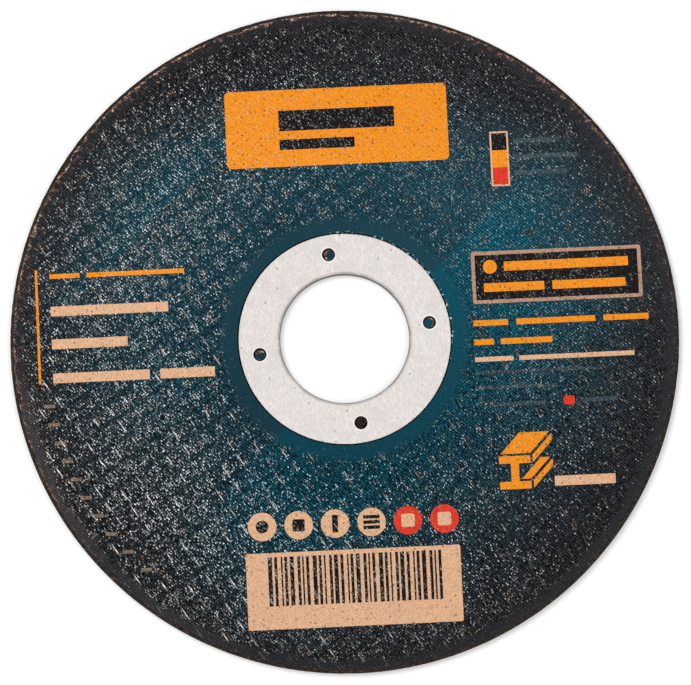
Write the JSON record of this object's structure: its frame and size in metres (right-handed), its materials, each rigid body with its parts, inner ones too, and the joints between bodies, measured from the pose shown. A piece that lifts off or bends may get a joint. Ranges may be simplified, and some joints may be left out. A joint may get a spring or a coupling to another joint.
{
  "type": "cut off wheel",
  "caption": "Thin flat abrasive cutting disc with a printed paper label on its front and a flanged sheet-steel ring lining its bore.",
  "frame": {"origin": "on the bore's axis, in the plane of the wheel's back face", "axes": "+Z along the bore's axis towards the printed face, +Y towards the label's top"},
  "size_m": [0.115, 0.115, 0.0013],
  "materials": {
    "abrasive": "resin-bonded abrasive grain, rough and dark, with glass fabric showing as a fine grid",
    "label_paper": "printed label paper pressed onto the grain, teal and charcoal, glinting where the fabric stands up",
    "ring_steel": "bright tinned sheet steel, finely brushed"
  },
  "bodies": {
    "root": {"abrasive_disc": "abrasive", "printed_label": "label_paper", "arbor_ring": "ring_steel"}
  },
  "joints": []
}
